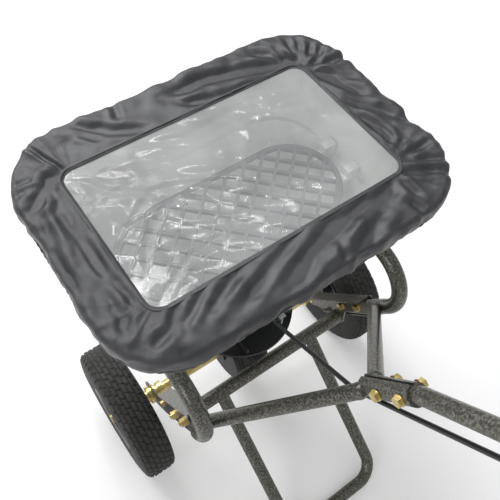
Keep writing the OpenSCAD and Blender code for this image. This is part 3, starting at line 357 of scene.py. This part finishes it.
# Cover: rounded rectangle rings from the window's edge over the rim and down to the hem.
# Outlines are half length, half width and corner radius in metres. Profile points are place along
# the cloth, share of the way from window to edge, and height in millimetres. Creases are (depth, width,
# points) in millimetres from the middle of the cover, a valley with a crest on each side.
cover = {
    "middleY": 0.028 + shiftY,
    "topZ": 0.616,
    "window": (0.198, 0.121, 0.022),
    "edge": (0.261, 0.191, 0.094),
    "quarterRun": 0.425,
    "clothWidth": 0.115,
    "thickness": 0.0008,
    "cornerShare": 0.36,
    "columns": 640,
    "rows": 74,
    "profile": [(0, -0.06, -1.2), (0.06, 0.0, 0.0), (0.28, 0.42, 0.8), (0.46, 0.78, 0.4),
                (0.56, 0.93, -1.4), (0.63, 0.985, -5.0), (0.7, 1.0, -10.5), (0.8, 1.0, -19.0),
                (0.89, 0.985, -27.0), (0.95, 0.95, -31.0), (1.0, 0.9, -31.5)],
    "creases": [
        (4.5, 9, [(-9, 163), (52, 165), (126, 145), (200, 119)]),
        (3.5, 8, [(-150, 188), (-103, 149), (-56, 124)]),
        (2.5, 5, [(-149, 170), (-117, 139)]),
        (2.5, 5, [(-76, 189), (-84, 161)]),
        (2.5, 6, [(-8, 151), (44, 127)]),
        (3.5, 7, [(141, 179), (174, 148), (196, 114)]),
        (2.5, 6, [(0, 137), (47, 127), (124, 112)]),
        (2.5, 3, [(-208, 183), (-184, 117)]),
        (5.0, 9, [(-186, 117), (-207, 117), (-226, 100), (-251, 81)]),
        (2.5, 5, [(-248, 132), (-225, 128)]),
        (2.5, 5, [(-248, 115), (-227, 118)]),
        (3.0, 6, [(-205, 115), (-221, 61), (-219, -38)]),
        (3.0, 7, [(-244, 63), (-252, 20), (-252, -45)]),
        (2.5, 6, [(-205, 93), (-210, 18), (-214, -70)]),
        (2.5, 5, [(-258, 67), (-262, 18)]),
        (3.5, 5, [(200, 119), (210, 170)]),
        (3.0, 5, [(204, 117), (223, 157)]),
        (3.0, 5, [(210, 113), (236, 141)]),
        (3.0, 5, [(214, 105), (251, 129)]),
        (3.5, 6, [(202, 110), (232, 99), (270, 86)]),
        (2.5, 5, [(195, 122), (180, 168)]),
        (5.0, 8, [(200, 107), (217, 69), (229, 37), (240, 5)]),
        (5.0, 8, [(213, 18), (237, -21), (262, -66)]),
        (2.5, 6, [(218, 82), (237, 58), (252, 41)]),
        (2.5, 6, [(213, -42), (210, -82)]),
        (3.0, 6, [(203, -4), (209, -35), (217, -75)]),
        (3.0, 6, [(183, -121), (213, -138), (243, -159)]),
        (2.5, 5, [(202, -104), (260, -103)]),
        (2.5, 5, [(203, -109), (252, -137)]),
        (2.5, 5, [(174, -131), (177, -166)]),
        (2.5, 5, [(160, -161), (167, -191)]),
        (2.5, 5, [(208, -91), (229, -79)]),
        (4.0, 9, [(166, -130), (113, -159), (55, -192)]),
        (5.0, 9, [(154, -130), (78, -141), (16, -157), (-64, -186)]),
        (3.5, 8, [(86, -122), (-9, -150), (-68, -168)]),
        (3.5, 7, [(12, -123), (-52, -146), (-112, -170)]),
        (3.0, 7, [(-80, -124), (-151, -156)]),
        (2.5, 5, [(46, -160), (33, -191)]),
        (3.0, 6, [(-162, -121), (-191, -147), (-222, -155)]),
        (3.0, 6, [(-131, -126), (-182, -153)]),
        (2.5, 6, [(-212, -95), (-238, -122)]),
        (3.5, 7, [(-216, 5), (-226, -62), (-232, -119)]),
        (2.5, 6, [(-228, 21), (-237, -47), (-245, -103)]),
        (2.5, 6, [(-212, -48), (-208, -98)]),
    ],
}


# Smaller folds, in metres. Ramps are (start, length) as shares of the cloth's width, counted from the
# window's edge, and hemRamp from the hem; a gather is (height, radians a metre of hem, radians down the
# cloth); slack is (height, reach from the middle); a crush is (seed, waves, height, size).
folds = {
    "grow": (0, 0.4),
    "creaseRamp": (0, 0.12),
    "dropRamp": (0.5, 0.4),
    "slackRamp": (0.35, 0.25),
    "hemRamp": (0, 0.12),
    "fan": {"height": 0.0016, "inset": 0.018, "pleats": 8.5, "ring": 0.045, "spread": 0.04},
    "gather": (0.0018, 44, 5),
    "smallGather": (0.0009, 118, -3),
    "slackRight": (0.006, 0.25),
    "slackFront": (0.0045, 0.18),
    "crushes": [(3, 7, 0.0012, 0.055), (5, 9, 0.0005, 0.02)],
    "deepest": -0.003,
}


def ringPoint(t, share, extra=0.0):
    # t runs 0..4 anticlockwise from the +X side; share 0 is the window's edge and 1 the cover's edge;
    # each quarter is a corner arc and then a straight; extra moves the point outwards
    a, b, r = [inner + (outer - inner) * share for inner, outer in zip(cover["window"], cover["edge"])]
    quarter = np.floor(t) % 4
    s = t - np.floor(t)
    corner = cover["cornerShare"]
    angle = (quarter + np.clip(s / corner, 0, 1)) * math.pi / 2
    signX = np.where((quarter == 0) | (quarter == 3), 1.0, -1.0)
    signY = np.where(quarter < 2, 1.0, -1.0)
    x = signX * (a - r) + r * np.cos(angle)
    y = signY * (b - r) + r * np.sin(angle)
    k = np.clip((s - corner) / (1 - corner), 0, 1)
    nextX = np.where((quarter == 3) | (quarter == 2), 1.0, -1.0)
    nextY = np.where((quarter == 3) | (quarter == 0), 1.0, -1.0)
    endX = nextX * (a - r) + r * np.cos(angle)
    endY = nextY * (b - r) + r * np.sin(angle)
    x = x * (1 - k) + endX * k
    y = y * (1 - k) + endY * k
    return x + np.cos(angle) * extra, y + np.sin(angle) * extra, np.cos(angle), np.sin(angle)


def coverProfile(v):
    # v 0..1 along the cloth: across the top, over the rim's edge, down, and in under the hem;
    # the straight steps between the points are rounded by a running mean
    at, share, height = np.array(cover["profile"]).T
    samples, window = 400, 15
    fine = np.linspace(0, 1, samples)
    mean = np.ones(window) / window
    shareFine = np.convolve(np.pad(np.interp(fine, at, share), window // 2, mode="edge"), mean, "valid")
    zFine = np.convolve(np.pad(np.interp(fine, at, height), window // 2, mode="edge"), mean, "valid")
    return np.interp(v, fine, shareFine), np.interp(v, fine, zFine / 1000)


def onCover(x, y, below):
    # points at x, y from the cover's middle and below metres under its top
    return np.stack([x, y + cover["middleY"], cover["topZ"] - below], axis=-1)


def ridge(x, sharp=1.0):
    # 1 - |sin x|^sharp: narrow crests with rounded valleys between them
    return 1 - np.abs(np.sin(x)) ** sharp


def creaseHeight(x, y, depth, width, points):
    # distance d to the line of points; a valley -depth exp(-(d / width)^2) with a crest of 0.45 depth
    # at 2 widths from it, all times 1.25, and both fading over the last fifth of the line at each end
    farOff = 9.0
    best = np.full_like(x, farOff)
    along = np.zeros_like(x)
    line = np.array(points, dtype=float) / 1000
    step = np.hypot(*np.diff(line, axis=0).T)
    before = np.concatenate([[0], np.cumsum(step)])
    for i in range(len(step)):
        dx, dy = (line[i + 1] - line[i]) / step[i]
        k = np.clip((x - line[i, 0]) * dx + (y - line[i, 1]) * dy, 0, step[i])
        d = np.hypot(x - line[i, 0] - k * dx, y - line[i, 1] - k * dy)
        along = np.where(d < best, (before[i] + k) / before[-1], along)
        best = np.minimum(d, best)
    w = width / 1000
    fade = np.clip(np.minimum(along, 1 - along) * 4 + 0.25, 0, 1)
    valley = -np.exp(-(best / w) ** 2)
    crest = 0.45 * np.exp(-((best - 2 * w) / (0.9 * w)) ** 2)
    return 1.25 * depth / 1000 * fade * (valley + crest)


def clothFolds(t, v, p):
    # height above the plain surface, in metres: the main creases, fine fans at the window's corners,
    # shallow gathers on the drop, slack over the right and front edges, and crushed cloth all over
    x, y = p[..., 0], p[..., 1] - cover["middleY"]
    h = np.zeros_like(x)
    outward = ramp(v, *folds["grow"]) ** 0.7
    for depth, width, points in cover["creases"]:
        h += creaseHeight(x, y, depth, width, points)
    h *= ramp(v, *folds["creaseRamp"])
    fan = folds["fan"]
    for i, (sx, sy) in enumerate([(1, 1), (-1, 1), (-1, -1), (1, -1)]):
        dx = x - sx * (cover["window"][0] - fan["inset"])
        dy = y - sy * (cover["window"][1] - fan["inset"])
        angle = np.arctan2(dy, dx)
        pleat = ridge(angle * fan["pleats"] + i * 1.3 + 0.8 * np.sin(angle * 3 + i), 0.8)
        near = np.exp(-((np.hypot(dx, dy) - fan["ring"]) / fan["spread"]) ** 2)
        h += fan["height"] * pleat * near * outward
    run = t * cover["quarterRun"]
    height, turns, lean = folds["gather"]
    gather = height * ridge(run * turns + v * lean + 1.1 * np.sin(run * 11), 0.9)
    height, turns, lean = folds["smallGather"]
    gather += height * ridge(run * turns + v * lean + 0.9 * np.sin(run * 23 + 2))
    h += ramp(v, *folds["dropRamp"]) * gather
    slack = 0
    for along, (height, reach) in [(x, folds["slackRight"]), (y, folds["slackFront"])]:
        slack = slack + height * ramp(along, 0, reach) ** 6
    h += ramp(v, *folds["slackRamp"]) * ramp(1 - v, *folds["hemRamp"]) * slack
    for seed, count, height, size in folds["crushes"]:
        h += height * waves(x, y + p[..., 2], seed, count, size) * outward
    return np.maximum(h, folds["deepest"])


def makeCover():
    t, v = np.meshgrid(np.linspace(0, 4, cover["columns"], endpoint=False),
                       np.linspace(0, 1, cover["rows"]), indexing="ij")
    share, z = coverProfile(v)
    x, y, outX, outY = ringPoint(t, share)
    p = onCover(x, y, -z)
    du = np.roll(p, -1, axis=0) - np.roll(p, 1, axis=0)
    dv = np.gradient(p, axis=1)
    normal = np.cross(dv, du)
    normal /= np.linalg.norm(normal, axis=-1, keepdims=True) + 1e-12
    outward = np.stack([outX, outY, np.ones_like(outX)], axis=-1)
    normal *= np.sign((normal * outward).sum(-1, keepdims=True))
    p = p + normal * clothFolds(t, v, p)[..., None]
    uv = np.stack([t * cover["quarterRun"], v * cover["clothWidth"]], axis=-1)
    obj = gridMesh("coverSkirt", p, wrapU=True, uv=uv, flip=True)
    thick = obj.modifiers.new("clothThickness", "SOLIDIFY")
    thick.thickness = cover["thickness"]
    thick.offset = -1
    return dress(obj, cloth, "cover_cloth", "cover", "cover_skirt")


coverSkirt = makeCover()
print("cover made")


# Film of the window, in metres: it lies below the cover's top and sags in the middle. Buckle and
# crinkle are crushes, and its wrinkles are (depth, width, points) like the creases of the cover.
filmSheet = {
    "share": 0.06,
    "below": 0.0018,
    "sag": 0.004,
    "halfLength": 0.2,
    "halfWidth": 0.123,
    "edgeRamp": (0, 0.2),
    "buckle": (11, 5, 0.0012, 0.09),
    "crinkle": (12, 6, 0.0004, 0.03),
    "depthShare": 0.6,
    "columns": 480,
    "rows": 160,
    "wrinkles": [
        (1.4, 5, [(-181, 100), (-150, 60), (-109, 34), (-64, 23)]),
        (1.2, 4, [(-109, 34), (-86, -23), (-28, -61)]),
        (1.2, 4, [(-64, 23), (-30, 6), (-2, -13)]),
        (1.0, 3, [(-80, 12), (-55, -10), (-44, -34)]),
        (1.0, 3, [(-98, -10), (-70, -30), (-60, -52)]),
        (1.2, 4, [(-188, -5), (-150, 10), (-109, 34)]),
        (1.0, 3, [(-192, 40), (-160, 52), (-128, 44)]),
        (1.4, 5, [(-190, -78), (-141, -19), (-98, 10)]),
        (1.0, 4, [(-181, -108), (-120, -75), (-60, -70)]),
        (1.0, 4, [(60, 110), (120, 60), (190, 40)]),
        (0.8, 3, [(90, 116), (150, 90), (192, 84)]),
        (1.0, 5, [(-100, 112), (-20, 90), (60, 96)]),
    ],
}


def makeFilm():
    # flat film under the window's edge: rings shrink to the middle, with long shallow wrinkles
    t, s = np.meshgrid(np.linspace(0, 4, filmSheet["columns"], endpoint=False),
                       np.linspace(0, 1, filmSheet["rows"]), indexing="ij")
    x0, y0 = ringPoint(t, np.full_like(t, filmSheet["share"]))[:2]
    x, y = x0 * s, y0 * s
    inside = ramp(1 - s, *filmSheet["edgeRamp"])
    sagX = 1 - (x / filmSheet["halfLength"]) ** 2
    sagY = 1 - (y / filmSheet["halfWidth"]) ** 2
    seed, count, height, size = filmSheet["buckle"]
    wrinkle = height * waves(x * 0.5 + y * 0.2, y, seed, count, size)
    seed, count, height, size = filmSheet["crinkle"]
    wrinkle += height * waves(x, y, seed, count, size)
    for depth, width, points in filmSheet["wrinkles"]:
        wrinkle += creaseHeight(x, y, filmSheet["depthShare"] * depth, width, points)
    lift = np.minimum(wrinkle * inside - filmSheet["sag"] * sagX * sagY, 0.0)
    p = onCover(x, y, filmSheet["below"] - lift)
    obj = gridMesh("windowFilm", p, wrapU=True, uv=np.stack([x, y], axis=-1))
    return dress(obj, film, "window_film", "cover", "cover_window")


windowFilm = makeFilm()


# Binding: folded tape sewn over the seam of film and cloth, in metres, a stitch every 3.2 mm
binding = {"share": 0.02, "halfWidth": 0.0017, "halfHeight": 0.0009, "above": 0.0004,
           "stitch": 0.0032, "dimple": 0.0002, "seam": 0.0005, "seamWidth": 0.0006,
           "columns": 900, "sides": 14, "width": 0.01}


def bandMesh(name, piece, x, y, below, t, w):
    # a closed band round the cover: w runs 0..1 round its section, whose last point is the first again
    uv = np.stack([t * cover["quarterRun"], w * piece["width"]], axis=-1)
    return gridMesh(name, onCover(x, y, below)[:, :-1], wrapU=True, wrapV=True, uv=uv)


def bandGrid(piece):
    return np.meshgrid(np.linspace(0, 4, piece["columns"], endpoint=False),
                       np.linspace(0, 1, piece["sides"] + 1), indexing="ij")


def makeBinding():
    # a flat band with rounded edges, each half |cos|^0.6 wide and |sin|^0.7 high, and stitch dimples
    t, w = bandGrid(binding)
    turn = w * 2 * math.pi
    across = np.sign(np.cos(turn)) * np.abs(np.cos(turn)) ** 0.6 * binding["halfWidth"]
    high = np.sign(np.sin(turn)) * np.abs(np.sin(turn)) ** 0.7 * binding["halfHeight"]
    x, y = ringPoint(t, np.full_like(t, binding["share"]), across)[:2]
    thread = np.sin(t * cover["quarterRun"] * 2 * math.pi / binding["stitch"])
    seam = np.exp(-((across - binding["seam"]) / binding["seamWidth"]) ** 2)
    below = -binding["above"] - high - binding["dimple"] * thread * seam * (high > 0)
    obj = bandMesh("windowBinding", binding, x, y, below, t, w)
    return dress(obj, cloth, "cover_cloth", "cover")


makeBinding()


# Hem: elastic casing, a round sleeve under the skirt's edge, in metres, puckered every 14 mm
hem = {"share": 0.93, "radius": 0.0038, "pucker": 0.0004, "puckerRun": 0.014, "below": 0.0312,
       "columns": 720, "sides": 16, "width": 2 * math.pi * 0.01}


def makeHem():
    t, w = bandGrid(hem)
    turn = w * 2 * math.pi
    r = hem["radius"] + hem["pucker"] * np.sin(t * cover["quarterRun"] * 2 * math.pi / hem["puckerRun"])
    x, y = ringPoint(t, np.full_like(t, hem["share"]), np.cos(turn) * r)[:2]
    obj = bandMesh("hemElastic", hem, x, y, hem["below"] - np.sin(turn) * r, t, w)
    return dress(obj, cloth, "elastic", "cover", "cover_hem")


makeHem()
print("window and hem made")


# Tyres: the section carried round the axle, with rows of small blocks that step by half a block.
# The half section is (radius, half width) in millimetres from the bead out to the crown; rings are
# fine grooves as (place across the section, depth, width) in metres from the crown's middle.
tyre = {
    "place": 0.239,
    "radius": 0.127,
    "half": [(53, 20), (60, 27), (78, 31.5), (96, 32), (112, 29.5), (123, 26), (127, 18), (127, 9)],
    "above": 0.0002,
    "rows": 8,
    "rowWidth": 0.0088,
    "blocks": 46,
    "blockLength": 0.0173,
    "slant": 0.22,
    "stepsPerBlock": 14,
    "sectionPoints": 150,
    "deep": 0.0032,
    "groove": 0.00055,
    "wall": 0.00075,
    "rings": [(0.03828, 0.0012, 0.0012), (0.062, 0.0006, 0.001)],
}


def tyreSection(count):
    # closed outline of the section, smoothed and evenly spaced: (radius, sideways)
    samples, window = 600, 47
    half = np.array(tyre["half"]) / 1000
    line = np.concatenate([half, half[::-1] * [1, -1]])
    step = np.concatenate([[0], np.cumsum(np.hypot(*np.diff(line, axis=0).T))])
    even = np.linspace(0, step[-1], samples)
    dense = np.stack([np.interp(even, step, line[:, 0]), np.interp(even, step, line[:, 1])], axis=-1)
    kernel = np.hanning(window) / np.hanning(window).sum()
    padded = np.pad(dense, ((window // 2, window // 2), (0, 0)), mode="edge")
    smooth = np.stack([np.convolve(padded[:, i], kernel, "valid") for i in (0, 1)], axis=-1)
    smooth[:, 0] += tyre["above"]
    even = np.linspace(0, samples - 1, count)
    return np.stack([np.interp(even, np.arange(samples), smooth[:, i]) for i in (0, 1)], axis=-1)


def treadHeight(across, phi):
    # blocks reach the section's surface, and the grooves between them lie deep below it
    rowWidth = tyre["rowWidth"]
    row = np.floor(across / rowWidth)
    inRow = across / rowWidth - row
    skew = 0.5 * (row % 2) + 0.12 * np.sin(row * 1.7)
    along = phi / (2 * math.pi) * tyre["blocks"] + skew + (inRow - 0.5) * tyre["slant"]
    inBlock = along - np.floor(along)
    edgeRow = np.minimum(inRow, 1 - inRow) * rowWidth
    edgeBlock = np.minimum(inBlock, 1 - inBlock) * tyre["blockLength"]
    raised = ramp(np.minimum(edgeRow, edgeBlock), tyre["groove"], tyre["wall"])
    inTread = np.abs(across) < rowWidth * tyre["rows"] / 2
    h = np.where(inTread, (raised - 1) * tyre["deep"], 0)
    for place, depth, width in tyre["rings"]:
        h = h - depth * np.exp(-((np.abs(across) - place) / width) ** 2)
    return h


def makeTyre(name, x, body, replaced):
    turns, count = tyre["blocks"] * tyre["stepsPerBlock"], tyre["sectionPoints"]
    section = tyreSection(count)
    phi, k = np.meshgrid(np.arange(turns) * 2 * math.pi / turns, np.arange(count), indexing="ij")
    r, side = section[k, 0], section[k, 1]
    across = np.concatenate([[0], np.cumsum(np.hypot(*np.diff(section, axis=0).T))])
    h = treadHeight((across - across[-1] / 2)[k], phi)
    tangent = np.gradient(section, axis=0)
    tangent /= np.linalg.norm(tangent, axis=1, keepdims=True)
    outR, outSide = np.abs(tangent[k, 1]), tangent[k, 0]
    outSide = outSide * np.sign(outSide * side + 1e-9)
    r = r + outR * h
    side = side + outSide * h
    p = np.stack([x + side, shiftY + r * np.cos(phi), tyre["radius"] + r * np.sin(phi)], axis=-1)
    obj = gridMesh(name, p, wrapU=True, wrapV=True)
    return dress(obj, tread, "tyre_rubber", body, replaced)


makeTyre("leftTyreTread", -tyre["place"], "axle_set", "left_tyre")
makeTyre("rightTyreTread", tyre["place"], "right_wheel", "right_tyre")
print("tyres made")


# Room: pale floor that keeps the shadow, white beyond it, and soft light from all sides
room = {"floorHalf": 6, "floorGrey": 0.86, "floorGlow": 0.16, "softLight": 0.55, "white": (1, 1, 1, 1)}


def seenByCamera(tree):
    # 1 for rays straight from the camera or through something clear, otherwise 0
    path = add(tree, "ShaderNodeLightPath")
    rays = {0: path.outputs["Is Camera Ray"], 1: path.outputs["Is Transmission Ray"]}
    return add(tree, "ShaderNodeMath", rays, operation="MAXIMUM").outputs[0]


def makeFloor():
    far = room["floorHalf"]
    points = np.array([[[-far, -far, 0], [-far, far, 0]], [[far, -far, 0], [far, far, 0]]], dtype=float)
    floor = gridMesh("studioFloor", points)
    material = bpy.data.materials.new("palePaperFloor")
    material.use_nodes = True
    tree = material.node_tree
    tree.nodes.clear()
    grey = room["floorGrey"]
    paper = add(tree, "ShaderNodeBsdfDiffuse", {"Color": (grey, grey, grey, 1)}).outputs[0]
    glow = add(tree, "ShaderNodeEmission", {"Color": room["white"], "Strength": room["floorGlow"]})
    lit = add(tree, "ShaderNodeAddShader", {0: paper, 1: glow.outputs[0]}).outputs[0]
    mix = add(tree, "ShaderNodeMixShader", {0: seenByCamera(tree), 1: paper, 2: lit})
    add(tree, "ShaderNodeOutputMaterial", {"Surface": mix.outputs[0]})
    floor.data.materials.append(material)


def makeWorld():
    world = bpy.data.worlds.new("studioWorld")
    bpy.context.scene.world = world
    world.use_nodes = True
    tree = world.node_tree
    tree.nodes.clear()
    soft = add(tree, "ShaderNodeBackground", {"Color": room["white"], "Strength": room["softLight"]})
    plain = add(tree, "ShaderNodeBackground", {"Color": room["white"], "Strength": 1.0})
    mix = add(tree, "ShaderNodeMixShader", {0: seenByCamera(tree), 1: soft.outputs[0], 2: plain.outputs[0]})
    add(tree, "ShaderNodeOutputWorld", {"Surface": mix.outputs[0]})


# Lamps: a large key from the front, two narrow ones for the glare on film and cloth, and a fill
lamps = {
    "keyBox": {"place": (-0.3, 2.4, 2.4), "aim": (0, 0.2, 0.4), "size": (1.8, 1.4), "power": 62},
    "glareBox": {"place": (0.4, 1.1, 2.3), "aim": (0.4, 0.2, 0.6), "size": (0.6, 0.16), "power": 9},
    "edgeStrip": {"place": (0.14, 1.32, 2.3), "aim": (0.14, 0.3, 0.6), "size": (0.05, 0.7), "power": 4},
    "fillBox": {"place": (-2.4, -0.8, 1.9), "aim": (0, 0.1, 0.3), "size": (1.6, 1.6), "power": 16},
}


def makeLamps():
    for name, p in lamps.items():
        data = bpy.data.lights.new(name, "AREA")
        data.shape = "RECTANGLE"
        data.size, data.size_y = p["size"]
        data.energy = p["power"]
        obj = bpy.data.objects.new(name, data)
        bpy.context.scene.collection.objects.link(obj)
        turn = (Vector(p["aim"]) - Vector(p["place"])).to_track_quat("-Z", "Y").to_matrix()
        obj.matrix_world = Matrix.Translation(p["place"]) @ turn.to_4x4()


makeFloor()
makeWorld()
makeLamps()
bpy.context.scene.view_settings.view_transform = "Standard"
print("room and lamps made")
